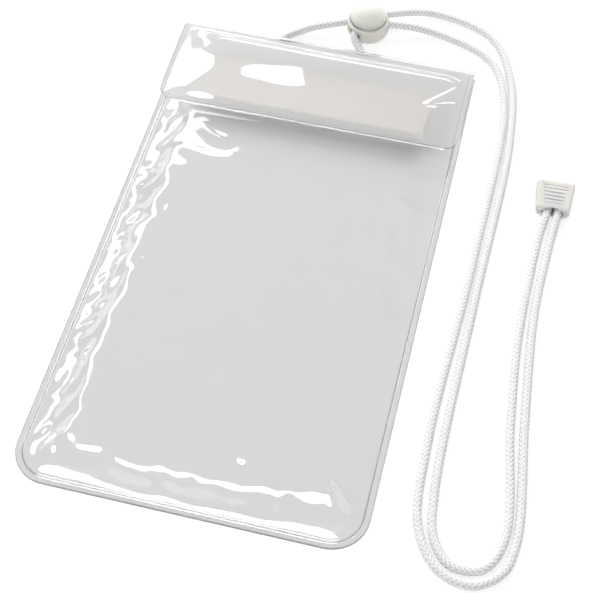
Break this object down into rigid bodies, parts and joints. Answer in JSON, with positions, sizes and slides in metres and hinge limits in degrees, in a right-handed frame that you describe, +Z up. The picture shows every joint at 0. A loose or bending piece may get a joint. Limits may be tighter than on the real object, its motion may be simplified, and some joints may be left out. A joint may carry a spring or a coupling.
{
  "type": "waterproof phone pouch",
  "caption": "Clear soft film pouch with a fold-over flap, press-to-close mouth and hook-and-loop tapes, on a braided neck cord with a sprung cord lock and an end clip.",
  "frame": {"origin": "centre of the pouch's outline, without the cord, on the table under its back", "axes": "+X across the pouch to the right, +Y from the bottom edge to the fold at the mouth, +Z up out of the front film"},
  "size_m": [0.1892, 0.2815, 0.0129],
  "materials": {
    "clear_film": "gloss",
    "tape": "woven",
    "cord": "braided",
    "lock_plastic": "satin",
    "clip_plastic": "satin",
    "spring_steel": "bright"
  },
  "bodies": {
    "pouch": {"back_panel": "clear_film", "front_panel": "clear_film", "flap_lining": "clear_film", "loop_tape": "tape", "hook_tape": "tape", "zip_track_back": "clear_film", "zip_track_front": "clear_film", "cord_loop": "clear_film", "lanyard_cord": "cord", "lock_body": "lock_plastic", "lock_spring": "spring_steel", "clip_back_shell": "clip_plastic", "clip_front_shell": "clip_plastic"},
    "button": {"lock_button": "lock_plastic"}
  },
  "joints": [
    {"name": "lock_press", "type": "slide", "parent": "pouch", "child": "button", "axis": [0, 0, -1], "range_m": [0, 0.0013], "stiffness_N_per_m": 1500, "springref_m": -0.0007, "deforming": ["lock_spring"]}
  ]
}
